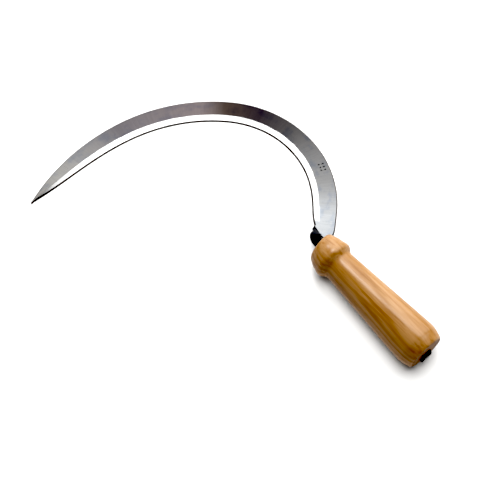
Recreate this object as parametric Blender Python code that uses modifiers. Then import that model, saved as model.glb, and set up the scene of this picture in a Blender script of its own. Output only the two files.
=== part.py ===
"""Hand sickle: a crescent blade, a cranked tang that runs through the handle, and a turned wooden handle.

Y runs along the handle with its nose towards +Y. The blade lies flat on the plane Z = 0, and so does the
widest ring of the handle, so the sickle is modelled as it lies on a table. Places are worked out from the
middle of the handle's nose, and at the end everything is moved so that the origin is the middle of the
underside of the whole object's box.
"""

import math

import bmesh
import bpy
from mathutils import Vector

MM = 0.001
GAP = 0.3 * MM

# The blade's back is a chain of tangent arcs (radius, length) from the heel to the tip.
BACK_START = Vector((23.2, 7.3)) * MM
BACK_HEADING = math.radians(40.9)
BACK_ARCS = (
    (600.0 * MM, 18.0 * MM),
    (94.3 * MM, 151.2 * MM),
    (139.7 * MM, 93.2 * MM),
    (162.3 * MM, 101.4 * MM),
)
BLADE_WIDTH = 20.1 * MM
HEEL_NARROWING = 0.30
HEEL_NARROWING_LENGTH = 10.5 * MM
TIP_TAPER_LENGTH = 32.5 * MM
TIP_BLUNT_WIDTH = 0.9 * MM
BLADE_THICKNESS = 2.0 * MM
BACK_CHAMFER = 0.5 * MM
EDGE_LAND = 0.6 * MM
BEVEL_WIDTH_AT_HEEL = 5.8 * MM
BEVEL_WIDTH_AT_TIP = 8.0 * MM
BEVEL_RUN_IN = 30.0 * MM
FIRST_STATION = 4.0 * MM
STATION_STEP = 3.6 * MM
TIP_STATION_STEP = 1.4 * MM
TIP_STRETCH = 42.0 * MM

# The heel is cut off where the tang joins it, and a rounded corner leads from the cut to the back.
HEEL_INNER_CORNER = Vector((15.3, 22.0)) * MM
HEEL_OUTER_CORNER = Vector((13.4, 12.2)) * MM
HEEL_CORNER_PULL = Vector((12.6, 4.4)) * MM
HEEL_BACK_PULL = 10.5 * MM
HEEL_STATIONS = 9

# The turned handle's outline: (distance from the nose, radius), joined by a smooth curve.
HANDLE_LENGTH = 107.4 * MM
NOSE_FACE_RADIUS = 9.8 * MM
NOSE_CORNER_RADIUS = 11.3 * MM
NOSE_SLANT = 0.15
NOSE_SLANT_LENGTH = 11.0 * MM
BUTT_FACE_RADIUS = 12.8 * MM
BUTT_CORNER_RADIUS = 14.3 * MM
HANDLE_OUTLINE = (
    (2.4, 12.2),
    (6.0, 13.6),
    (10.0, 14.5),
    (13.4, 15.3),
    (15.6, 15.0),
    (17.6, 13.6),
    (19.6, 12.35),
    (22.4, 12.1),
    (30.0, 12.6),
    (45.0, 13.5),
    (64.0, 14.7),
    (84.0, 16.0),
    (96.5, 16.7),
    (101.0, 16.1),
    (105.0, 15.0),
)
OUTLINE_STEPS = 4
ROUND_STEPS = 5
HANDLE_SIDES = 48
AXIS_HEIGHT = max(radius for _, radius in HANDLE_OUTLINE) * MM

# The tang's neck, from the heel to the nose:
# (x, y, height, direction that the bar's width points in, width, thickness).
NECK = (
    (14.0, 17.1, 1.0, 79.0, 9.2, 2.0),
    (12.3, 16.5, 1.5, 80.0, 8.8, 2.0),
    (11.0, 14.6, 3.9, 85.0, 7.8, 2.3),
    (9.6, 12.6, 7.4, 94.0, 7.0, 3.0),
    (6.8, 10.9, 12.0, 112.0, 7.4, 3.6),
    (3.6, 9.2, 15.7, 134.0, 8.0, 3.9),
    (1.7, 6.3, 17.0, 158.0, 8.0, 4.1),
    (1.3, 2.4, 16.8, 178.0, 7.9, 4.2),
)
NECK_STEPS = 3
RUN_WIDTH = (7.8 * MM, 8.0 * MM)
RUN_THICKNESS = (4.2 * MM, 2.0 * MM)
RUN_START = Vector((1.2 * MM, 0.0, AXIS_HEIGHT))
BAR_EDGE_ROUND = 0.9 * MM
BAR_EDGE_LIMIT = 0.3
BAR_EDGE_INSET = 0.3
CLENCH_BEND_RADIUS = 1.8 * MM
CLENCH_BEND_STEPS = 6
CLENCH_LENGTH = 6.0 * MM
CLENCH_TIP_SCALE = 1.2

# The slot for the tang starts and stops this far outside the run, as a share of its length.
SLOT_OVERRUN = 0.1


def clear_scene():
    for obj in list(bpy.data.objects):
        bpy.data.objects.remove(obj)


def new_collection(name):
    collection = bpy.data.collections.new(name)
    bpy.context.scene.collection.children.link(collection)
    return collection


def new_material(name, color, roughness, metallic):
    material = bpy.data.materials.new(name)
    material.use_nodes = True
    shader = material.node_tree.nodes["Principled BSDF"]
    shader.inputs["Base Color"].default_value = (*color, 1.0)
    shader.inputs["Roughness"].default_value = roughness
    shader.inputs["Metallic"].default_value = metallic
    material.diffuse_color = (*color, 1.0)
    return material


def object_from(bm, name, collection, material=None):
    bmesh.ops.recalc_face_normals(bm, faces=bm.faces)
    mesh = bpy.data.meshes.new(name)
    bm.to_mesh(mesh)
    bm.free()
    obj = bpy.data.objects.new(name, mesh)
    collection.objects.link(obj)
    if material:
        mesh.materials.append(material)
    return obj


def loft(name, rings, collection, material=None):
    """A closed body through rings of points that all have the same number of points."""
    bm = bmesh.new()
    rows = [[bm.verts.new(point) for point in ring] for ring in rings]
    count = len(rows[0])
    for row, following in zip(rows, rows[1:]):
        for i in range(count):
            j = (i + 1) % count
            bm.faces.new((row[i], row[j], following[j], following[i]))
    bm.faces.new(rows[0])
    bm.faces.new(rows[-1])
    return object_from(bm, name, collection, material)


def shade_round(obj, angle):
    obj.data.shade_smooth()
    obj.data.set_sharp_from_angle(angle=math.radians(angle))


def catmull_rom(a, b, c, d, t):
    """The value at t on the way from b to c, with a and d as their outer neighbours."""
    square = 2 * a - 5 * b + 4 * c - d
    cube = 3 * b - a - 3 * c + d
    return (2 * b + (c - a) * t + square * t**2 + cube * t**3) / 2


def smooth_curve(points, steps):
    """A curve through rows of numbers, with the end rows repeated so that it reaches them."""
    rows = [points[0], *points, points[-1]]
    curve = []
    for neighbours in zip(rows, rows[1:], rows[2:], rows[3:]):
        for step in range(steps):
            curve.append([catmull_rom(*column, step / steps) for column in zip(*neighbours)])
    curve.append(list(points[-1]))
    return curve


def blend(a, b, t):
    return a + (b - a) * t


def smooth_step(t):
    t = min(max(t, 0.0), 1.0)
    return t * t * (3 - 2 * t)


# Blade


def back_at(distance):
    """The point of the blade's back this far from the heel, and the back's heading there."""
    point, heading = BACK_START, BACK_HEADING
    for radius, length in BACK_ARCS:
        run = min(distance, length)
        centre = point + radius * Vector((-math.sin(heading), math.cos(heading)))
        heading += run / radius
        point = centre + radius * Vector((math.sin(heading), -math.cos(heading)))
        distance -= run
        if distance <= 0:
            break
    return point, heading


def blade_ring(outer, inner, bevel_width, edge_height):
    """One cross-section: flat below, chamfered at the back, and ground down to the land at the inner edge."""
    width = (inner - outer).length
    across = (inner - outer) / width
    chamfer = min(BACK_CHAMFER, width / 4)
    section = (
        (0.0, 0.0),
        (0.0, BLADE_THICKNESS - chamfer),
        (chamfer, BLADE_THICKNESS),
        (width - min(bevel_width, width / 2), BLADE_THICKNESS),
        (width, edge_height),
        (width, 0.0),
    )
    return [(*(outer + across * offset), height) for offset, height in section]


def heel_rings():
    """Sections that fan round the heel's corner, from the cut for the tang to the back's first station."""
    end, heading = back_at(FIRST_STATION)
    pull = end - HEEL_BACK_PULL * Vector((math.cos(heading), math.sin(heading)))
    inner_end = inner_edge_at(FIRST_STATION)
    rings = []
    for i in range(HEEL_STATIONS):
        t = i / HEEL_STATIONS
        outer = (
            (1 - t) ** 3 * HEEL_OUTER_CORNER
            + 3 * (1 - t) ** 2 * t * HEEL_CORNER_PULL
            + 3 * (1 - t) * t**2 * pull
            + t**3 * end
        )
        inner = HEEL_INNER_CORNER.lerp(inner_end, t)
        rings.append(blade_ring(outer, inner, BEVEL_WIDTH_AT_HEEL, BLADE_THICKNESS))
    return rings


def blade_length():
    return sum(length for _, length in BACK_ARCS)


def width_at(distance):
    heel = 1 - HEEL_NARROWING * math.exp(-distance / HEEL_NARROWING_LENGTH)
    tip = 1 - math.exp(-(blade_length() - distance) / TIP_TAPER_LENGTH)
    return BLADE_WIDTH * heel * tip


def inner_edge_at(distance):
    point, heading = back_at(distance)
    return point + max(width_at(distance), TIP_BLUNT_WIDTH) * Vector((-math.sin(heading), math.cos(heading)))


def blade_stations():
    distance = FIRST_STATION
    while distance < blade_length() - TIP_STRETCH:
        yield distance
        distance += STATION_STEP
    while distance < blade_length() - TIP_STATION_STEP / 2:
        yield distance
        distance += TIP_STATION_STEP
    yield blade_length()


def make_blade(collection):
    rings = heel_rings()
    for distance in blade_stations():
        along = distance / blade_length()
        taper = math.sqrt(width_at(distance) / BLADE_WIDTH)
        bevel_width = blend(BEVEL_WIDTH_AT_HEEL, BEVEL_WIDTH_AT_TIP, along) * taper
        ground = smooth_step((distance - FIRST_STATION) / BEVEL_RUN_IN)
        edge_height = blend(BLADE_THICKNESS, EDGE_LAND, ground)
        rings.append(blade_ring(back_at(distance)[0], inner_edge_at(distance), bevel_width, edge_height))
    steel = new_material("ground_steel", (0.60, 0.61, 0.63), 0.32, 1.0)
    return loft("blade", rings, collection, steel)


# Tang


def bar_ring(centre, width_way, thickness_way, width, thickness):
    """A rectangle with rounded corners, across the bar."""
    cut = min(BAR_EDGE_ROUND, thickness * BAR_EDGE_LIMIT)
    half_width, half_thickness = width / 2, thickness / 2
    inset = cut * BAR_EDGE_INSET
    quarter = (
        (half_width, half_thickness - cut),
        (half_width - inset, half_thickness - inset),
        (half_width - cut, half_thickness),
    )
    offsets = [*quarter]
    offsets += [(-a, b) for a, b in reversed(quarter)]
    offsets += [(-a, -b) for a, b in quarter]
    offsets += [(a, -b) for a, b in reversed(quarter)]
    return [centre + width_way * a + thickness_way * b for a, b in offsets]


def neck_rings():
    """From the heel, up the crank and round to the handle's axis. The first ring faces the heel's cut."""
    rows = smooth_curve(NECK, NECK_STEPS)
    centres = [Vector(row[:3]) * MM for row in rows]
    rings = []
    for i, (_, _, _, degrees, width, thickness) in enumerate(rows):
        width_way = Vector((math.cos(math.radians(degrees)), math.sin(math.radians(degrees)), 0.0))
        ahead = centres[min(i + 1, len(rows) - 1)] - centres[max(i - 1, 0)]
        thickness_way = Vector((0.0, 0.0, 1.0)) if i == 0 else width_way.cross(ahead).normalized()
        rings.append(bar_ring(centres[i], width_way, thickness_way, width * MM, thickness * MM))
    return rings


def run_end():
    """Where the straight run through the handle ends and the clench's bend begins."""
    outside = HANDLE_LENGTH + GAP + RUN_THICKNESS[1] / 2
    return Vector((0.0, CLENCH_BEND_RADIUS - outside, AXIS_HEIGHT))


def run_ring(t, clearance=0.0):
    width = blend(*RUN_WIDTH, t) + 2 * clearance
    thickness = blend(*RUN_THICKNESS, t) + 2 * clearance
    centre = RUN_START + (run_end() - RUN_START) * t
    return bar_ring(centre, Vector((-1.0, 0.0, 0.0)), Vector((0.0, 0.0, 1.0)), width, thickness)


def clench_rings():
    """The bend at the butt and the end that lies on it, pointing down."""
    centre = run_end() - Vector((0.0, 0.0, CLENCH_BEND_RADIUS))
    rings = []
    for i in range(1, CLENCH_BEND_STEPS + 1):
        turn = math.pi / 2 * i / CLENCH_BEND_STEPS
        outward = Vector((0.0, -math.sin(turn), math.cos(turn)))
        middle = centre + outward * CLENCH_BEND_RADIUS
        rings.append(bar_ring(middle, Vector((-1.0, 0.0, 0.0)), outward, RUN_WIDTH[1], RUN_THICKNESS[1]))
    end = middle - Vector((0.0, 0.0, CLENCH_LENGTH - CLENCH_BEND_RADIUS))
    tip_width = RUN_WIDTH[1] * CLENCH_TIP_SCALE
    rings.append(bar_ring(end, Vector((-1.0, 0.0, 0.0)), outward, tip_width, RUN_THICKNESS[1]))
    return rings


def make_tang(collection):
    rings = neck_rings() + [run_ring(0), run_ring(1)] + clench_rings()
    black = new_material("black_finish", (0.008, 0.008, 0.010), 0.35, 0.0)
    return loft("tang", rings, collection, black)


# Handle


def corner_arc(start, corner, end):
    """A quarter-round from one face to the next, as a quadratic curve about their corner."""
    points = []
    for i in range(ROUND_STEPS + 1):
        t = i / ROUND_STEPS
        weights = ((1 - t) ** 2, 2 * (1 - t) * t, t**2)
        points.append([sum(map(math.prod, zip(weights, column))) for column in zip(start, corner, end)])
    return points


def handle_outline():
    """(distance from the nose, radius) from the middle of the nose's face to the middle of the butt."""
    side = [[distance * MM, radius * MM] for distance, radius in smooth_curve(HANDLE_OUTLINE, OUTLINE_STEPS)]
    nose = corner_arc((0.0, NOSE_FACE_RADIUS), (0.0, NOSE_CORNER_RADIUS), side[0])
    butt = corner_arc(side[-1], (HANDLE_LENGTH, BUTT_CORNER_RADIUS), (HANDLE_LENGTH, BUTT_FACE_RADIUS))
    return [(0.0, 0.0), *nose, *side[1:-1], *butt, (HANDLE_LENGTH, 0.0)]


def turned_mesh():
    """The outline turned about Z, with the nose at the top, as a mesh of its own."""
    bm = bmesh.new()
    points = [bm.verts.new((radius, 0.0, -distance)) for distance, radius in handle_outline()]
    for a, b in zip(points, points[1:]):
        bm.edges.new((a, b))
    profile = object_from(bm, "handle_profile", bpy.context.scene.collection)
    turned = profile.modifiers.new("turned", "SCREW")
    turned.steps = turned.render_steps = HANDLE_SIDES
    turned.use_merge_vertices = True
    turned.merge_threshold = 0.00001
    turned.use_smooth_shade = True
    evaluated = profile.evaluated_get(bpy.context.evaluated_depsgraph_get())
    mesh = bpy.data.meshes.new_from_object(evaluated)
    bpy.data.objects.remove(profile)
    return mesh


def slant_nose(mesh):
    """The nose's face is cut at a slant: it reaches further forward on the blade's side."""
    for vertex in mesh.vertices:
        nearness = 1 - smooth_step(-vertex.co.z / NOSE_SLANT_LENGTH)
        vertex.co.z += NOSE_SLANT * nearness * vertex.co.x


def make_handle(collection, cutters):
    mesh = turned_mesh()
    slant_nose(mesh)
    mesh.materials.append(new_material("varnished_wood", (0.70, 0.42, 0.16), 0.35, 0.0))
    handle = bpy.data.objects.new("handle", mesh)
    collection.objects.link(handle)
    handle.rotation_euler = (-math.pi / 2, 0.0, 0.0)
    handle.location = (0.0, 0.0, AXIS_HEIGHT)

    slot = loft("tang_slot", [run_ring(t, GAP) for t in (-SLOT_OVERRUN, 1 + SLOT_OVERRUN)], cutters)
    slot.hide_render = True
    slot.display_type = "WIRE"
    bore = handle.modifiers.new("bore", "BOOLEAN")
    bore.operation = "DIFFERENCE"
    bore.object = slot
    return handle


# Assembly


def stand_on_origin(objects, cutters):
    """Parents everything to one empty, placed so that the origin is the middle of the box's underside."""
    bpy.context.view_layer.update()
    graph = bpy.context.evaluated_depsgraph_get()
    corners = []
    for obj in objects:
        evaluated = obj.evaluated_get(graph)
        corners += [evaluated.matrix_world @ Vector(corner) for corner in evaluated.bound_box]
    low = [min(corner[i] for corner in corners) for i in range(3)]
    high = [max(corner[i] for corner in corners) for i in range(3)]
    frame = bpy.data.objects.new("sickle_frame", None)
    bpy.context.scene.collection.objects.link(frame)
    for obj in [*objects, *cutters.objects]:
        obj.parent = frame
    frame.location = (-(low[0] + high[0]) / 2, -(low[1] + high[1]) / 2, -low[2])


def main():
    clear_scene()
    sickle = new_collection("hand_sickle")
    cutters = new_collection("cutters")
    blade = make_blade(sickle)
    tang = make_tang(sickle)
    handle = make_handle(sickle, cutters)
    for obj in (blade, tang):
        shade_round(obj, 30)
    stand_on_origin([blade, tang, handle], cutters)


main()
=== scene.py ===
"""The looks of the hand sickle: a ground steel blade, a black tang and a varnished wooden handle.

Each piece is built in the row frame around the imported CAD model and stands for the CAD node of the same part.
"""

import math

import bmesh
import bpy
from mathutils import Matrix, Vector, noise


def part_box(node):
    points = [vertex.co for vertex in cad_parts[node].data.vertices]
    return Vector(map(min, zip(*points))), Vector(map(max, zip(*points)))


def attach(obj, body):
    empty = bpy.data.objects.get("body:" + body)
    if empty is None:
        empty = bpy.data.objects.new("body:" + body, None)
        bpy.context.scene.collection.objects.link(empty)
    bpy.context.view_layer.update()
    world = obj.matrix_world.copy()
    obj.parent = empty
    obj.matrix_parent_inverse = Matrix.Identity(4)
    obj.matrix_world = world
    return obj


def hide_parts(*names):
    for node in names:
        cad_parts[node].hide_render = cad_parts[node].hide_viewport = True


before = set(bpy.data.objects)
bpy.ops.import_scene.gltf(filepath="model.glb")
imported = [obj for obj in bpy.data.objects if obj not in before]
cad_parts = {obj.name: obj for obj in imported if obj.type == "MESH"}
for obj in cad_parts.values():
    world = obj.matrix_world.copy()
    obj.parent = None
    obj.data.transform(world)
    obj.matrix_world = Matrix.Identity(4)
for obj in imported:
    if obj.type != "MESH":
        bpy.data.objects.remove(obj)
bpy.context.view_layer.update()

MM = 0.001
GAP = 0.3 * MM

# Driving dimensions of the CAD model, which the meshes here repeat, and how finely each mesh is divided.
# The handle's radii and outline and the neck's rows are in plain millimetres.
HANDLE_LENGTH = 107.4 * MM
NOSE_FACE_RADIUS = 9.8
NOSE_CORNER_RADIUS = 11.3
NOSE_SLANT = 0.15
NOSE_SLANT_LENGTH = 11.0 * MM
BUTT_FACE_RADIUS = 12.8
BUTT_CORNER_RADIUS = 14.3
HANDLE_OUTLINE = (
    (2.4, 12.2),
    (6.0, 13.6),
    (10.0, 14.5),
    (13.4, 15.3),
    (15.6, 15.0),
    (17.6, 13.6),
    (19.6, 12.35),
    (22.4, 12.1),
    (30.0, 12.6),
    (45.0, 13.5),
    (64.0, 14.7),
    (84.0, 16.0),
    (96.5, 16.7),
    (101.0, 16.1),
    (105.0, 15.0),
)
OUTLINE_STEPS = 12
CORNER_STEPS = 12
FACE_RINGS = 8
HANDLE_SIDES = 160
SLOT_OVERRUN = 0.1

BACK_START = Vector((23.2, 7.3)) * MM
BACK_HEADING = math.radians(40.9)
BACK_ARCS = (
    (600.0 * MM, 18.0 * MM),
    (94.3 * MM, 151.2 * MM),
    (139.7 * MM, 93.2 * MM),
    (162.3 * MM, 101.4 * MM),
)
BLADE_LENGTH = sum(length for _, length in BACK_ARCS)
BLADE_WIDTH = 20.1 * MM
HEEL_NARROWING = 0.30
HEEL_NARROWING_LENGTH = 10.5 * MM
TIP_TAPER_LENGTH = 32.5 * MM
TIP_BLUNT_WIDTH = 0.9 * MM
BLADE_THICKNESS = 2.0 * MM
EDGE_LAND = 0.6 * MM
BEVEL_RUN_IN = 30.0 * MM
FIRST_STATION = 4.0 * MM
STATION_STEP = 1.2 * MM
HEEL_INNER_CORNER = Vector((15.3, 22.0)) * MM
HEEL_OUTER_CORNER = Vector((13.4, 12.2)) * MM
HEEL_CORNER_PULL = Vector((12.6, 4.4)) * MM
HEEL_BACK_PULL = 10.5 * MM
HEEL_STATIONS = 14

# The tang's neck: (x, y, height, direction that the bar's width points in, width, thickness).
NECK = (
    (14.0, 17.1, 1.0, 79.0, 9.2, 2.0),
    (12.3, 16.5, 1.5, 80.0, 8.8, 2.0),
    (11.0, 14.6, 3.9, 85.0, 7.8, 2.3),
    (9.6, 12.6, 7.4, 94.0, 7.0, 3.0),
    (6.8, 10.9, 12.0, 112.0, 7.4, 3.6),
    (3.6, 9.2, 15.7, 134.0, 8.0, 3.9),
    (1.7, 6.3, 17.0, 158.0, 8.0, 4.1),
    (1.3, 2.4, 16.8, 178.0, 7.9, 4.2),
)
NECK_STEPS = 5
RUN_WIDTH = (7.8 * MM, 8.0 * MM)
RUN_THICKNESS = (4.2 * MM, 2.0 * MM)
RUN_START_SHIFT = 1.2 * MM
RUN_STEPS = 30
BAR_EDGE_ROUND = 0.9 * MM
BAR_EDGE_LIMIT = 0.3
CLENCH_BEND_RADIUS = 1.8 * MM
CLENCH_BEND_STEPS = 10
CLENCH_LENGTH = 6.0 * MM
CLENCH_STEPS = 10
CLENCH_TIP_SCALE = 1.2

# The middle of the handle's nose, on the table plane, and the height of the handle's axis.
handle_low, handle_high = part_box("handle")
AXIS_HEIGHT = (handle_low.z + handle_high.z) / 2
NOSE = Vector(((handle_low.x + handle_high.x) / 2, handle_low.y + HANDLE_LENGTH, 0.0))


# Helpers


def blend(a, b, t):
    return a + (b - a) * t


def smooth_step(t):
    t = min(max(t, 0.0), 1.0)
    return t * t * (3 - 2 * t)


def catmull_rom(a, b, c, d, t):
    square = 2 * a - 5 * b + 4 * c - d
    cube = 3 * b - a - 3 * c + d
    return (2 * b + (c - a) * t + square * t**2 + cube * t**3) / 2


def smooth_curve(points, steps):
    """A curve through rows of numbers, with the end rows repeated so that it reaches them."""
    rows = [points[0], *points, points[-1]]
    curve = []
    for neighbours in zip(rows, rows[1:], rows[2:], rows[3:]):
        for step in range(steps):
            curve.append([catmull_rom(*column, step / steps) for column in zip(*neighbours)])
    curve.append(list(points[-1]))
    return curve


def ripple(point, scale, seed):
    """Smooth noise from -1 to 1 with bumps about this large."""
    return noise.noise(Vector(point) / scale + Vector((seed, 0.7 * seed, 0.3 * seed)))


def object_from(bm, name, materials, angle):
    bmesh.ops.recalc_face_normals(bm, faces=bm.faces)
    mesh = bpy.data.meshes.new(name)
    bm.to_mesh(mesh)
    bm.free()
    obj = bpy.data.objects.new(name, mesh)
    bpy.context.scene.collection.objects.link(obj)
    for material in materials:
        mesh.materials.append(material)
    mesh.shade_smooth()
    mesh.set_sharp_from_angle(angle=math.radians(angle))
    return obj


def apply_modifiers(obj):
    bpy.context.view_layer.update()
    evaluated = obj.evaluated_get(bpy.context.evaluated_depsgraph_get())
    mesh = bpy.data.meshes.new_from_object(evaluated)
    obj.modifiers.clear()
    obj.data = mesh


def cut(obj, cutter, transfer=False):
    """Takes the cutter out of obj and removes it. With transfer, the cut has the cutter's material."""
    boolean = obj.modifiers.new("cut", "BOOLEAN")
    boolean.operation = "DIFFERENCE"
    boolean.solver = "EXACT"
    boolean.object = cutter
    if transfer:
        boolean.material_mode = "TRANSFER"
    apply_modifiers(obj)
    bpy.data.objects.remove(cutter)


def loft(name, rings, materials, angle, grain=None):
    """A closed body through rings of points. grain, if given, is a (u, v) in metres for each point."""
    bm = bmesh.new()
    rows = [[bm.verts.new(point) for point in ring] for ring in rings]
    count = len(rows[0])
    layer = bm.loops.layers.uv.new("grain") if grain else None
    for r, (row, following) in enumerate(zip(rows, rows[1:])):
        for i in range(count):
            j = (i + 1) % count
            face = bm.faces.new((row[i], row[j], following[j], following[i]))
            if grain:
                corners = (grain[r][i], grain[r][j], grain[r + 1][j], grain[r + 1][i])
                for loop, corner in zip(face.loops, corners):
                    loop[layer].uv = corner
    for row, places in ((rows[0], 0), (rows[-1], -1)):
        face = bm.faces.new(row)
        if grain:
            for loop, corner in zip(face.loops, grain[places]):
                loop[layer].uv = corner
    return object_from(bm, name, materials, angle)


# Node helpers


class Nodes:
    """A short way to write a material's node tree."""

    def __init__(self, name):
        self.material = bpy.data.materials.new(name)
        self.material.use_nodes = True
        self.tree = self.material.node_tree
        self.shader = self.tree.nodes["Principled BSDF"]

    def add(self, kind, inputs=None, **settings):
        node = self.tree.nodes.new("ShaderNode" + kind)
        for key, value in settings.items():
            setattr(node, key, value)
        for key, value in (inputs or {}).items():
            self.plug(node.inputs[key], value)
        return node

    def plug(self, socket, value):
        if isinstance(value, bpy.types.NodeSocket):
            self.tree.links.new(value, socket)
        else:
            socket.default_value = value

    def set(self, **values):
        for key, value in values.items():
            self.plug(self.shader.inputs[key.replace("_", " ")], value)

    def object_coordinates(self):
        return self.add("TexCoord").outputs["Object"]

    def grain_coordinates(self):
        """The blade's own: metres along the back, and metres across from it."""
        return self.add("UVMap", uv_map="grain").outputs["UV"]

    def stretched(self, vector, scale):
        return self.add("Mapping", {"Vector": vector, "Scale": scale}).outputs["Vector"]

    def noise(self, vector, scale=1.0, detail=3.0, roughness=0.55):
        inputs = {"Vector": vector, "Scale": scale, "Detail": detail, "Roughness": roughness}
        return self.add("TexNoise", inputs).outputs["Fac"]

    def ramp(self, value, *stops):
        """A colour ramp through (position, colour or grey level) stops."""
        node = self.add("ValToRGB", {"Fac": value})
        elements = node.color_ramp.elements
        while len(elements) < len(stops):
            elements.new(0.5)
        for element, (position, colour) in zip(elements, stops):
            element.position = position
            level = colour if isinstance(colour, tuple) else (colour, colour, colour)
            element.color = (*level, 1.0)
        return node.outputs["Color"]

    def mix(self, factor, a, b, mode="MIX"):
        node = self.add("Mix", data_type="RGBA", blend_type=mode)
        for index, value in ((0, factor), (6, a), (7, b)):
            colour = isinstance(value, tuple) and len(value) == 3
            self.plug(node.inputs[index], (*value, 1.0) if colour else value)
        return node.outputs[2]

    def math(self, operation, a, b):
        node = self.add("Math", operation=operation)
        self.plug(node.inputs[0], a)
        self.plug(node.inputs[1], b)
        return node.outputs[0]

    def bump(self, height, strength, distance, normal=None):
        inputs = {"Height": height, "Strength": strength, "Distance": distance}
        if normal is not None:
            inputs["Normal"] = normal
        return self.add("Bump", inputs).outputs["Normal"]


# Materials


# The flat's painted reflection along its back, as (share of the length, colour): bright at the heel, darkest at
# the crown, brownish just past it, then an even grey that grows paler to the tip.
PAINTED_REFLECTION_TONES = (
    (0.03, (0.130, 0.134, 0.137)),
    (0.12, (0.074, 0.074, 0.074)),
    (0.30, (0.024, 0.023, 0.023)),
    (0.385, (0.0135, 0.012, 0.013)),
    (0.475, (0.019, 0.0155, 0.014)),
    (0.53, (0.043, 0.037, 0.037)),
    (0.74, (0.037, 0.035, 0.037)),
    (0.92, (0.097, 0.095, 0.091)),
    (1.00, (0.092, 0.088, 0.084)),
)
# How far the borders between those shades wander, as a share of the length.
TONE_WANDER = 0.025
BEVEL_STEEL = (0.32, 0.32, 0.317)
TANG_WEAR = (0.030, 0.027, 0.026)
WOOD_FLECK = (0.170, 0.062, 0.014)

# How far the handle's axis lies from the middle of the tree's rings, and how far the grain bends.
RINGS_OFFSET = (0.030, 0.0, 0.052)
GRAIN_BEND = (0.010, 0.0, 0.010)


def steel_face():
    """The blade's flat: steel ground across its width, with a painted reflection along it: bright at the heel,
    dark at the crown, grey towards the tip.
    """
    nodes = Nodes("steel_face")
    uv = nodes.grain_coordinates()
    along = nodes.add("SeparateXYZ", {"Vector": uv}).outputs["X"]
    share = nodes.math("DIVIDE", along, BLADE_LENGTH)
    wander = nodes.noise(nodes.stretched(uv, (30.0, 45.0, 1.0)), detail=2.0)
    shift = nodes.math("MULTIPLY", nodes.math("SUBTRACT", wander, 0.5), TONE_WANDER)
    share = nodes.math("ADD", share, shift)
    # Painted reflection: the flat's light and dark along its length stand in for the lamps and dark room it
    # mirrors.
    tone = nodes.ramp(share, *PAINTED_REFLECTION_TONES)
    lines = nodes.noise(nodes.stretched(uv, (2600.0, 60.0, 1.0)), detail=4.0, roughness=0.7)
    broad = nodes.noise(nodes.stretched(uv, (420.0, 22.0, 1.0)), detail=2.0)
    cloud = nodes.noise(nodes.stretched(uv, (70.0, 110.0, 1.0)), detail=4.0, roughness=0.6)
    colour = nodes.mix(1.0, tone, nodes.ramp(lines, (0.3, 0.84), (0.7, 1.08)), "MULTIPLY")
    colour = nodes.mix(1.0, colour, nodes.ramp(broad, (0.3, 0.94), (0.7, 1.04)), "MULTIPLY")
    smudge = nodes.ramp(cloud, (0.36, (0.80, 0.84, 0.92)), (0.50, (1.0, 1.0, 1.0)))
    colour = nodes.mix(1.0, colour, smudge, "MULTIPLY")
    nodes.set(
        Base_Color=colour,
        Metallic=1.0,
        Roughness=nodes.ramp(lines, (0.3, 0.27), (0.7, 0.40)),
        Anisotropic=0.55,
        Tangent=nodes.add("Tangent", direction_type="UV_MAP", uv_map="grain").outputs["Tangent"],
        Normal=nodes.bump(lines, 0.12, 0.00004),
    )
    return nodes.material


def steel_bevel():
    """The grind along the inner edge: brighter than the flat, with the wheel's fine lines across it."""
    nodes = Nodes("steel_bevel")
    uv = nodes.grain_coordinates()
    lines = nodes.noise(nodes.stretched(uv, (3200.0, 90.0, 1.0)), detail=4.0, roughness=0.7)
    broad = nodes.noise(nodes.stretched(uv, (300.0, 40.0, 1.0)), detail=2.0)
    colour = nodes.mix(1.0, BEVEL_STEEL, nodes.ramp(lines, (0.3, 0.90), (0.7, 1.0)), "MULTIPLY")
    colour = nodes.mix(1.0, colour, nodes.ramp(broad, (0.3, 0.97), (0.6, 1.0)), "MULTIPLY")
    nodes.set(
        Base_Color=colour,
        Metallic=1.0,
        Roughness=nodes.ramp(lines, (0.3, 0.38), (0.7, 0.48)),
        Normal=nodes.bump(lines, 0.15, 0.00004),
    )
    return nodes.material


def painted_dark_edge():
    """The back's rim and the facet at the inner edge: steel painted near-black and slightly brown, a painted
    line of shade along the blade's edges.
    """
    nodes = Nodes("painted_dark_edge")
    place = nodes.object_coordinates()
    stain = nodes.noise(place, 160.0, 4.0, 0.65)
    speck = nodes.noise(place, 1400.0, 3.0, 0.6)
    # Painted shade: near-black, brownish steel that draws a dark line along the rim and the edge facet.
    colour = nodes.ramp(stain, (0.3, (0.030, 0.026, 0.024)), (0.7, (0.085, 0.074, 0.066)))
    colour = nodes.mix(1.0, colour, nodes.ramp(speck, (0.35, 0.7), (0.65, 1.15)), "MULTIPLY")
    nodes.set(
        Base_Color=colour,
        Metallic=0.75,
        Roughness=nodes.ramp(speck, (0.3, 0.42), (0.7, 0.58)),
        Normal=nodes.bump(speck, 0.2, 0.00006),
    )
    return nodes.material


def stamp_dark():
    """The blackened inside of the punched dots."""
    nodes = Nodes("stamp_dark")
    speck = nodes.noise(nodes.object_coordinates(), 2200.0, 3.0, 0.6)
    nodes.set(
        Base_Color=nodes.ramp(speck, (0.3, (0.012, 0.012, 0.014)), (0.7, (0.05, 0.05, 0.056))),
        Metallic=0.3,
        Roughness=0.6,
        Normal=nodes.bump(speck, 0.3, 0.00005),
    )
    return nodes.material


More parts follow.
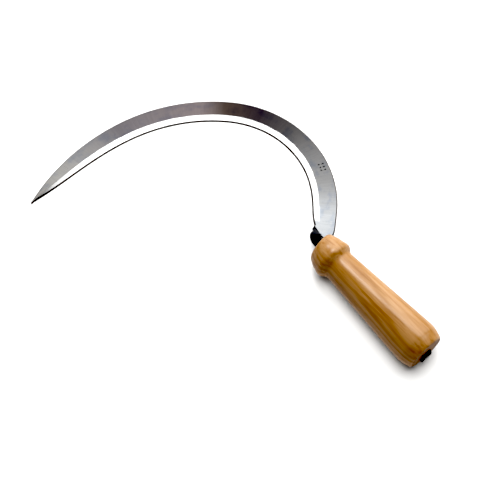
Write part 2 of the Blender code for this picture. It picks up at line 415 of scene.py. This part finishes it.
def black_lacquer():
    """Black lacquer over a hammered bar: satin, and greyer where it is worn."""
    nodes = Nodes("black_lacquer")
    place = nodes.object_coordinates()
    orange_peel = nodes.noise(place, 900.0, 2.0, 0.5)
    forge = nodes.noise(place, 240.0, 4.0, 0.6)
    wear = nodes.noise(place, 520.0, 5.0, 0.7)
    colour = nodes.ramp(forge, (0.35, (0.0030, 0.0030, 0.0040)), (0.7, (0.009, 0.009, 0.012)))
    colour = nodes.mix(nodes.ramp(wear, (0.66, 0.0), (0.74, 0.6)), colour, TANG_WEAR)
    normal = nodes.bump(forge, 0.35, 0.0003)
    nodes.set(
        Base_Color=colour,
        Roughness=nodes.ramp(wear, (0.35, 0.40), (0.7, 0.58)),
        Specular_IOR_Level=0.10,
        Normal=nodes.bump(orange_peel, 0.15, 0.00008, normal),
    )
    return nodes.material


def varnished_wood(name, coat, shade):
    """Turned wood with its grain along Y, under this much clear varnish and darkened by this shade."""
    nodes = Nodes(name)
    place = nodes.object_coordinates()
    drift = nodes.noise(nodes.stretched(place, (60.0, 9.0, 60.0)), detail=2.0)
    bend = nodes.add("VectorMath", {1: GRAIN_BEND}, operation="MULTIPLY")
    nodes.plug(bend.inputs[0], nodes.add("CombineXYZ", {"X": drift, "Z": drift}).outputs["Vector"])
    bent = nodes.add("VectorMath", operation="ADD")
    nodes.plug(bent.inputs[0], place)
    nodes.plug(bent.inputs[1], bend.outputs[0])
    tilt = nodes.add("Mapping", {"Vector": bent.outputs[0], "Location": RINGS_OFFSET})
    ring_settings = {
        "Vector": nodes.stretched(tilt.outputs["Vector"], (1.0, 0.10, 1.0)),
        "Scale": 70.0,
        "Distortion": 0.8,
        "Detail": 3.0,
        "Detail Scale": 1.4,
        "Detail Roughness": 0.6,
    }
    rings = nodes.add("TexWave", ring_settings, wave_type="RINGS", rings_direction="Y").outputs["Fac"]
    fibre = nodes.noise(nodes.stretched(place, (1100.0, 26.0, 1100.0)), detail=4.0, roughness=0.65)
    streak = nodes.noise(nodes.stretched(place, (330.0, 9.0, 330.0)), detail=3.0, roughness=0.6)
    fleck = nodes.noise(nodes.stretched(place, (1500.0, 150.0, 1500.0)), detail=2.0, roughness=0.5)
    patch = nodes.noise(nodes.stretched(place, (55.0, 18.0, 55.0)), detail=2.0)
    colour = nodes.ramp(
        rings,
        (0.10, (0.305, 0.176, 0.082)),
        (0.55, (0.290, 0.163, 0.070)),
        (0.95, (0.258, 0.136, 0.050)),
    )
    streak_shade = nodes.ramp(streak, (0.34, (0.80, 0.70, 0.56)), (0.50, (1.02, 1.02, 1.02)))
    colour = nodes.mix(1.0, colour, streak_shade, "MULTIPLY")
    fibre_shade = nodes.ramp(fibre, (0.3, (0.90, 0.85, 0.78)), (0.62, (1.04, 1.04, 1.04)))
    colour = nodes.mix(1.0, colour, fibre_shade, "MULTIPLY")
    patch_shade = nodes.ramp(patch, (0.35, (0.93, 0.90, 0.84)), (0.65, (1.04, 1.05, 1.08)))
    colour = nodes.mix(1.0, colour, patch_shade, "MULTIPLY")
    colour = nodes.mix(nodes.ramp(fleck, (0.68, 0.0), (0.76, 0.35)), colour, WOOD_FLECK)
    colour = nodes.mix(1.0, colour, shade, "MULTIPLY")
    brush = nodes.noise(nodes.stretched(place, (500.0, 40.0, 500.0)), detail=2.0)
    nodes.set(
        Base_Color=colour,
        Roughness=nodes.ramp(fibre, (0.3, 0.42), (0.7, 0.54)),
        Normal=nodes.bump(fibre, 0.10, 0.00010),
        Specular_IOR_Level=0.05,
        Coat_Weight=coat,
        Coat_Roughness=0.20,
        Coat_IOR=1.5,
        Coat_Normal=nodes.bump(brush, 0.06, 0.00010),
    )
    return nodes.material


# Blade


def back_at(distance):
    """The point of the blade's back this far from the heel, and the back's heading there."""
    point, heading = BACK_START, BACK_HEADING
    for radius, length in BACK_ARCS:
        run = min(distance, length)
        centre = point + radius * Vector((-math.sin(heading), math.cos(heading)))
        heading += run / radius
        point = centre + radius * Vector((math.sin(heading), -math.cos(heading)))
        distance -= run
        if distance <= 0:
            break
    return point, heading


def width_at(distance):
    heel = 1 - HEEL_NARROWING * math.exp(-distance / HEEL_NARROWING_LENGTH)
    tip = 1 - math.exp(-(BLADE_LENGTH - distance) / TIP_TAPER_LENGTH)
    return BLADE_WIDTH * heel * tip


def inner_edge_at(distance):
    point, heading = back_at(distance)
    width = max(width_at(distance), TIP_BLUNT_WIDTH)
    return point + width * Vector((-math.sin(heading), math.cos(heading)))


FACE_POINTS = 8
BEVEL_POINTS = 6
LOWER_CORNER = 0.08 * MM

# The back's rounded rim: (inward, down) points as shares of the chamfer, and where the flat begins.
BACK_CHAMFER = 0.65 * MM
RIM_POINTS = ((0.0, 1.2), (0.45, 0.4))
FLAT_BEGINS = 1.25

# The bevel here is narrower than the CAD model's, slightly hollow, and ends in a facet at the edge that is
# painted dark as shade.
BEVEL_WIDTH_AT_HEEL = 5.4 * MM
BEVEL_WIDTH_AT_TIP = 6.3 * MM
BEVEL_HOLLOW = 0.06 * MM
BEVEL_START = 7.0 * MM
EDGE_FACET = 1.15 * MM
LEAST_BEVEL_IN_FACETS = 1.2
FACET_FOOT = 0.25
EDGE_UNDERCUT = 0.05 * MM

# How unevenly the bevel was ground: (share of its width, length of the waves, seed).
BEVEL_WAVES = (
    (0.035, 9 * MM, 3),
    (0.02, 2.5 * MM, 5),
)

# The places of the blade's materials in its list, and how many faces of a section are the back's rim.
_, BEVEL_MATERIAL, EDGE_MATERIAL = range(3)
RIM_FACES = 3

PUNCH_COLUMNS = 3
PUNCH_ROWS = 2
PUNCH_START = 58.6 * MM
PUNCH_OFFSET = 4.3 * MM
PUNCH_SPACING = 3.0 * MM
PUNCH_BOTTOM_RADIUS = 0.35 * MM
PUNCH_TOP_RADIUS = 0.80 * MM
PUNCH_DEPTH = 1.1 * MM
PUNCH_LIFT = 0.1 * MM
PUNCH_SIDES = 20


def blade_section(width, bevel_width, edge_height, distance):
    """(offset from the back, height) of each point round one cross-section."""
    chamfer = min(BACK_CHAMFER, width / 4)
    facet = min(EDGE_FACET, width / 3)
    bevel = max(min(bevel_width, width / 2), LEAST_BEVEL_IN_FACETS * facet)
    rim = width - facet
    wobble = 1
    for share, length, seed in BEVEL_WAVES:
        wobble += share * ripple((distance, 0, 0), length, seed)
    shoulder = width - bevel * wobble
    drop = BLADE_THICKNESS - edge_height
    section = [(0.0, LOWER_CORNER)]
    section += [(inward * chamfer, BLADE_THICKNESS - down * chamfer) for inward, down in RIM_POINTS]
    for i in range(FACE_POINTS):
        offset = blend(FLAT_BEGINS * chamfer, shoulder, i / (FACE_POINTS - 1))
        section.append((offset, BLADE_THICKNESS))
    for i in range(1, BEVEL_POINTS):
        t = i / (BEVEL_POINTS - 1)
        hollow = BEVEL_HOLLOW * math.sin(math.pi * t) * (drop / BLADE_THICKNESS)
        fall = drop * t * (rim - shoulder) / (width - shoulder)
        section.append((blend(shoulder, rim, t), BLADE_THICKNESS - fall - hollow))
    section += [(width, edge_height * FACET_FOOT), (width - EDGE_UNDERCUT, 0.0), (LOWER_CORNER, 0.0)]
    return section


def blade_ring(outer, inner, bevel_width, edge_height, distance):
    """The points of one cross-section, and each one's grain: metres along the back and inward from it."""
    width = (inner - outer).length
    across = (inner - outer) / width
    section = blade_section(width, bevel_width, edge_height, distance)
    places = [outer + across * offset for offset, _ in section]
    ring = [(NOSE.x + p.x, NOSE.y + p.y, h) for p, (_, h) in zip(places, section)]
    if distance >= FIRST_STATION:
        return ring, [(distance, offset) for offset, _ in section]
    end, heading = back_at(FIRST_STATION)
    ahead = Vector((math.cos(heading), math.sin(heading)))
    inward = Vector((-ahead.y, ahead.x))
    return ring, [(FIRST_STATION + (p - end).dot(ahead), (p - end).dot(inward)) for p in places]


def heel_sections():
    end, heading = back_at(FIRST_STATION)
    pull = end - HEEL_BACK_PULL * Vector((math.cos(heading), math.sin(heading)))
    inner_end = inner_edge_at(FIRST_STATION)
    for i in range(HEEL_STATIONS):
        t = i / HEEL_STATIONS
        outer = (
            (1 - t) ** 3 * HEEL_OUTER_CORNER
            + 3 * (1 - t) ** 2 * t * HEEL_CORNER_PULL
            + 3 * (1 - t) * t**2 * pull
            + t**3 * end
        )
        inner = HEEL_INNER_CORNER.lerp(inner_end, t)
        yield blade_ring(outer, inner, BEVEL_WIDTH_AT_HEEL, BLADE_THICKNESS, FIRST_STATION * t)


def back_sections():
    count = round((BLADE_LENGTH - FIRST_STATION) / STATION_STEP)
    for i in range(count + 1):
        distance = blend(FIRST_STATION, BLADE_LENGTH, i / count)
        taper = width_at(distance) / BLADE_WIDTH
        bevel_width = blend(BEVEL_WIDTH_AT_HEEL, BEVEL_WIDTH_AT_TIP, distance / BLADE_LENGTH) * taper
        ground = smooth_step((distance - FIRST_STATION) / BEVEL_RUN_IN)
        edge_height = blend(BLADE_THICKNESS, EDGE_LAND, ground)
        yield blade_ring(back_at(distance)[0], inner_edge_at(distance), bevel_width, edge_height, distance)


def paint_blade(blade, section_points):
    """Gives each face its material by its place round the cross-section, which starts at the back."""
    grain = blade.data.uv_layers["grain"].data
    first_bevel_face = RIM_FACES + FACE_POINTS - 1
    facet_face = first_bevel_face + BEVEL_POINTS - 1
    for face in blade.data.polygons:
        place = face.index % section_points
        along = grain[face.loop_start].uv.x
        # The rim and the edge facet take the material painted dark as a line of shade.
        if place < RIM_FACES or place in (facet_face, facet_face + 1):
            face.material_index = EDGE_MATERIAL
        elif first_bevel_face <= place < facet_face and along > BEVEL_START:
            face.material_index = BEVEL_MATERIAL


def punch_marks(blade):
    """A plain grid of round punch dots near the back."""
    dark = stamp_dark()
    for column in range(PUNCH_COLUMNS):
        point, heading = back_at(PUNCH_START + PUNCH_SPACING * column)
        inward = Vector((-math.sin(heading), math.cos(heading)))
        for row in range(PUNCH_ROWS):
            place = point + inward * (PUNCH_OFFSET + PUNCH_SPACING * row)
            bm = bmesh.new()
            bmesh.ops.create_cone(
                bm,
                cap_ends=True,
                segments=PUNCH_SIDES,
                radius1=PUNCH_BOTTOM_RADIUS,
                radius2=PUNCH_TOP_RADIUS,
                depth=PUNCH_DEPTH,
            )
            middle = (NOSE.x + place.x, NOSE.y + place.y, BLADE_THICKNESS + PUNCH_LIFT)
            bmesh.ops.translate(bm, verts=bm.verts, vec=middle)
            cut(blade, object_from(bm, "punch", [dark], angle=30), transfer=True)


def make_blade():
    sections = [*heel_sections(), *back_sections()]
    rings = [ring for ring, _ in sections]
    grain = [places for _, places in sections]
    materials = [steel_face(), steel_bevel(), painted_dark_edge()]
    blade = loft("blade_steel", rings, materials, angle=10, grain=grain)
    paint_blade(blade, len(rings[0]))
    punch_marks(blade)
    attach(blade, "root")
    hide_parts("blade")


# Tang


BAR_ROUND_STEPS = 4
BAR_SIDE_STEPS = 4

# The hammer's dents, which go inward more than outward.
DENT_DEPTH = 0.10 * MM
DENT_SIZE = 2.6 * MM
DENT_INSET = 0.5
DENT_SEED = 11


def bar_ring(centre, width_way, thickness_way, width, thickness):
    """A rectangle with rounded corners and softly hammered sides, across the bar."""
    radius = min(BAR_EDGE_ROUND, thickness * BAR_EDGE_LIMIT)
    half_width, half_thickness = width / 2 - radius, thickness / 2 - radius
    ring = []
    for corner in range(4):
        a = half_width * (1, -1, -1, 1)[corner]
        b = half_thickness * (1, 1, -1, -1)[corner]
        for step in range(BAR_ROUND_STEPS + 1):
            turn = math.pi / 2 * (corner + step / BAR_ROUND_STEPS)
            ring.append((a + radius * math.cos(turn), b + radius * math.sin(turn)))
    full = []
    for (a, b), (c, d) in zip(ring, ring[1:] + ring[:1]):
        full.append((a, b))
        if math.hypot(c - a, d - b) > radius:
            shares = [k / BAR_SIDE_STEPS for k in range(1, BAR_SIDE_STEPS)]
            full += [(blend(a, c, share), blend(b, d, share)) for share in shares]
    points = []
    for a, b in full:
        point = centre + width_way * a + thickness_way * b
        dent = DENT_DEPTH * (ripple(point, DENT_SIZE, DENT_SEED) - DENT_INSET)
        outward = (width_way * a + thickness_way * b).normalized()
        points.append(point + outward * dent)
    return points


def neck_rings():
    rows = smooth_curve(NECK, NECK_STEPS)
    centres = [Vector(row[:3]) * MM + NOSE for row in rows]
    rings = []
    for i, (_, _, _, degrees, width, thickness) in enumerate(rows):
        width_way = Vector((math.cos(math.radians(degrees)), math.sin(math.radians(degrees)), 0.0))
        ahead = centres[min(i + 1, len(rows) - 1)] - centres[max(i - 1, 0)]
        thickness_way = Vector((0.0, 0.0, 1.0)) if i == 0 else width_way.cross(ahead).normalized()
        rings.append(bar_ring(centres[i], width_way, thickness_way, width * MM, thickness * MM))
    return rings


def run_ends():
    outside = HANDLE_LENGTH + GAP + RUN_THICKNESS[1] / 2
    start = NOSE + Vector((RUN_START_SHIFT, 0.0, AXIS_HEIGHT))
    end = NOSE + Vector((0.0, CLENCH_BEND_RADIUS - outside, AXIS_HEIGHT))
    return start, end


ACROSS = Vector((-1.0, 0.0, 0.0))


def run_rings():
    start, end = run_ends()
    rings = []
    for i in range(RUN_STEPS + 1):
        t = i / RUN_STEPS
        width, thickness = blend(*RUN_WIDTH, t), blend(*RUN_THICKNESS, t)
        rings.append(bar_ring(start.lerp(end, t), ACROSS, Vector((0.0, 0.0, 1.0)), width, thickness))
    return rings


def clench_rings():
    centre = run_ends()[1] - Vector((0.0, 0.0, CLENCH_BEND_RADIUS))
    rings = []
    for i in range(1, CLENCH_BEND_STEPS + 1):
        turn = math.pi / 2 * i / CLENCH_BEND_STEPS
        outward = Vector((0.0, -math.sin(turn), math.cos(turn)))
        middle = centre + outward * CLENCH_BEND_RADIUS
        rings.append(bar_ring(middle, ACROSS, outward, RUN_WIDTH[1], RUN_THICKNESS[1]))
    for i in range(1, CLENCH_STEPS + 1):
        t = i / CLENCH_STEPS
        place = middle - Vector((0.0, 0.0, (CLENCH_LENGTH - CLENCH_BEND_RADIUS) * t))
        width = RUN_WIDTH[1] * blend(1, CLENCH_TIP_SCALE, t)
        rings.append(bar_ring(place, ACROSS, outward, width, RUN_THICKNESS[1]))
    return rings


def make_tang():
    rings = neck_rings() + run_rings() + clench_rings()
    tang = loft("tang_forged", rings, [black_lacquer()], angle=40)
    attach(tang, "root")
    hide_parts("tang")


# Handle


def corner_arc(start, corner, end):
    points = []
    for i in range(CORNER_STEPS + 1):
        t = i / CORNER_STEPS
        weights = ((1 - t) ** 2, 2 * (1 - t) * t, t**2)
        points.append([sum(map(math.prod, zip(weights, column))) for column in zip(start, corner, end)])
    return points


def handle_outline():
    """(distance from the nose, radius) in millimetres, from the nose's face to the butt's face."""
    length = HANDLE_LENGTH / MM
    side = smooth_curve(HANDLE_OUTLINE, OUTLINE_STEPS)
    nose = corner_arc((0.0, NOSE_FACE_RADIUS), (0.0, NOSE_CORNER_RADIUS), side[0])
    butt = corner_arc(side[-1], (length, BUTT_CORNER_RADIUS), (length, BUTT_FACE_RADIUS))
    nose_face = [(0.0, NOSE_FACE_RADIUS * i / FACE_RINGS) for i in range(1, FACE_RINGS)]
    butt_face = [(length, BUTT_FACE_RADIUS * i / FACE_RINGS) for i in range(FACE_RINGS - 1, 0, -1)]
    return [*nose_face, *nose, *side[1:-1], *butt, *butt_face]


# The lathe's faint chatter, longest along the handle, and the inset that keeps it inside the CAD outline.
CHATTER_DEPTH = 0.012 * MM
CHATTER_SIZE = 1.6 * MM
CHATTER_SQUEEZE = 0.12
CHATTER_SEED = 21
CHATTER_INSET = 0.015 * MM


def turned_point(distance, radius, turn):
    """A point of the turned surface, in metres from the middle of the nose, Y along the handle."""
    x, z = radius * math.cos(turn) * MM, radius * math.sin(turn) * MM
    nearness = 1 - smooth_step(distance * MM / NOSE_SLANT_LENGTH)
    y = -distance * MM + NOSE_SLANT * nearness * x
    chatter = CHATTER_DEPTH * ripple((x, CHATTER_SQUEEZE * y, z), CHATTER_SIZE, CHATTER_SEED)
    out = Vector((x, 0.0, z)).normalized() * (chatter - CHATTER_INSET)
    return Vector((x, y, z)) + out


# Faces that look this much along the handle are its two ends, cut across the grain: darker, nearly bare.
END_FACE_TILT = 0.93
SIDE_VARNISH = 0.40
SIDE_SHADE = (1.0, 1.0, 1.0)
END_VARNISH = 0.05
END_SHADE = (0.62, 0.55, 0.45)
END_MATERIAL = 1
HANDLE_SMOOTHING = 40


def make_handle():
    outline = handle_outline()
    bm = bmesh.new()
    rows = []
    for distance, radius in outline:
        turns = [2 * math.pi * side / HANDLE_SIDES for side in range(HANDLE_SIDES)]
        rows.append([bm.verts.new(turned_point(distance, radius, turn)) for turn in turns])
    for row, following in zip(rows, rows[1:]):
        for i in range(HANDLE_SIDES):
            j = (i + 1) % HANDLE_SIDES
            bm.faces.new((row[i], row[j], following[j], following[i]))
    bm.faces.new(rows[0])
    bm.faces.new(rows[-1])
    side_wood = varnished_wood("varnished_wood_side", SIDE_VARNISH, SIDE_SHADE)
    end_wood = varnished_wood("varnished_wood_end", END_VARNISH, END_SHADE)
    handle = object_from(bm, "handle_wood", [side_wood, end_wood], HANDLE_SMOOTHING)
    for face in handle.data.polygons:
        if abs(face.normal.y) > END_FACE_TILT:
            face.material_index = END_MATERIAL
    handle.location = NOSE + Vector((0.0, 0.0, AXIS_HEIGHT))

    start, end = run_ends()
    slot_rings = []
    corners = ((1, 1), (1, -1), (-1, -1), (-1, 1))
    for t in (-SLOT_OVERRUN, 1 + SLOT_OVERRUN):
        width = blend(*RUN_WIDTH, t) / 2 + GAP
        thickness = blend(*RUN_THICKNESS, t) / 2 + GAP
        middle = start.lerp(end, t)
        slot_rings.append([middle + Vector((a * width, 0.0, b * thickness)) for a, b in corners])
    cut(handle, loft("tang_slot", slot_rings, [], angle=30))
    handle.data.shade_smooth()
    handle.data.set_sharp_from_angle(angle=math.radians(HANDLE_SMOOTHING))
    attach(handle, "root")
    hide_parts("handle")


# Stage


CAMERA_AZIMUTH = math.radians(-39.83)
CAMERA_ELEVATION = math.radians(62.0)
CAMERA_DISTANCE = 601.6 * MM
CAMERA_LENS = 57.6
TARGET_FROM_NOSE = Vector((-35.51, 37.34, 0.0)) * MM


def towards(azimuth, elevation):
    """The unit vector out to a place seen at this azimuth and elevation, as the camera's are counted."""
    flat = math.cos(elevation)
    return Vector((math.sin(azimuth) * flat, -math.cos(azimuth) * flat, math.sin(elevation)))


def make_camera():
    data = bpy.data.cameras.new("camera")
    data.lens = CAMERA_LENS
    data.sensor_width = 36.0
    data.clip_start = 0.01
    data.clip_end = 20.0
    camera = bpy.data.objects.new("camera", data)
    bpy.context.scene.collection.objects.link(camera)
    direction = towards(CAMERA_AZIMUTH, CAMERA_ELEVATION)
    camera.location = NOSE + TARGET_FROM_NOSE + direction * CAMERA_DISTANCE
    camera.rotation_mode = "QUATERNION"
    camera.rotation_quaternion = (-direction).to_track_quat("-Z", "Y")
    bpy.context.scene.camera = camera


# Each lamp's name, direction from the table's middle, distance and size in metres, and power in watts.
LIGHTS = (
    ("key", (0.62, 0.30, 0.74), 1.6, (2.4, 2.4), 82.0),
    ("strip", (0.22, 0.45, 0.88), 1.3, (0.4, 0.6), 9.0),
    ("overhead", (0.45, 0.20, 0.87), 1.5, (1.2, 1.2), 7.0),
    ("table_light", (-0.15, 0.08, 1.0), 1.5, (0.8, 0.8), 46.0),
)


def make_light(name, direction, distance, size, power):
    data = bpy.data.lights.new(name, "AREA")
    data.shape = "RECTANGLE"
    data.size, data.size_y = size
    data.energy = power
    light = bpy.data.objects.new(name, data)
    bpy.context.scene.collection.objects.link(light)
    light.location = direction.normalized() * distance
    light.rotation_mode = "QUATERNION"
    light.rotation_quaternion = (-direction).to_track_quat("-Z", "Y")


def light_only(light, receivers):
    """The light falls on these objects alone, though every object still shades them from it."""
    group = bpy.data.collections.new(light.name + "_receivers")
    for receiver in receivers:
        group.objects.link(receiver)
    light.light_linking.receiver_collection = group


# The table glows faintly, so that shade on it stays pale.
TABLE_GLOW = 0.05
TABLE_DROP = 0.05 * MM
TABLE_SIZE = 3.0
WORLD_STRENGTH = 0.20
BLACK_POINT = 0.07


def make_floor():
    nodes = Nodes("white_table")
    mottle = nodes.noise(nodes.object_coordinates(), 3.0, 2.0)
    nodes.set(
        Base_Color=nodes.ramp(mottle, (0.3, (0.35, 0.348, 0.345)), (0.7, (0.37, 0.368, 0.365))),
        Roughness=0.8,
        Specular_IOR_Level=0.1,
        Emission_Color=(1.0, 1.0, 1.0, 1.0),
        Emission_Strength=TABLE_GLOW,
    )
    bm = bmesh.new()
    bmesh.ops.create_grid(bm, x_segments=8, y_segments=8, size=TABLE_SIZE)
    floor = object_from(bm, "table", [nodes.material], angle=30)
    floor.location.z = -TABLE_DROP


def make_world():
    world = bpy.data.worlds.new("studio")
    world.use_nodes = True
    background = world.node_tree.nodes["Background"]
    background.inputs["Color"].default_value = (1.0, 1.0, 1.0, 1.0)
    background.inputs["Strength"].default_value = WORLD_STRENGTH
    bpy.context.scene.world = world


def make_film_response():
    """A plain sRGB view with a raised black point, so that shade goes deep and white stays white."""
    view = bpy.context.scene.view_settings
    view.view_transform = "Standard"
    view.use_curve_mapping = True
    view.curve_mapping.black_level = (BLACK_POINT,) * 3
    view.curve_mapping.update()


make_blade()
make_tang()
make_handle()
make_floor()
make_world()
for name, direction, distance, size, power in LIGHTS:
    make_light(name, Vector(direction), distance, size, power)
light_only(bpy.data.objects["table_light"], [bpy.data.objects["table"]])
make_camera()
make_film_response()
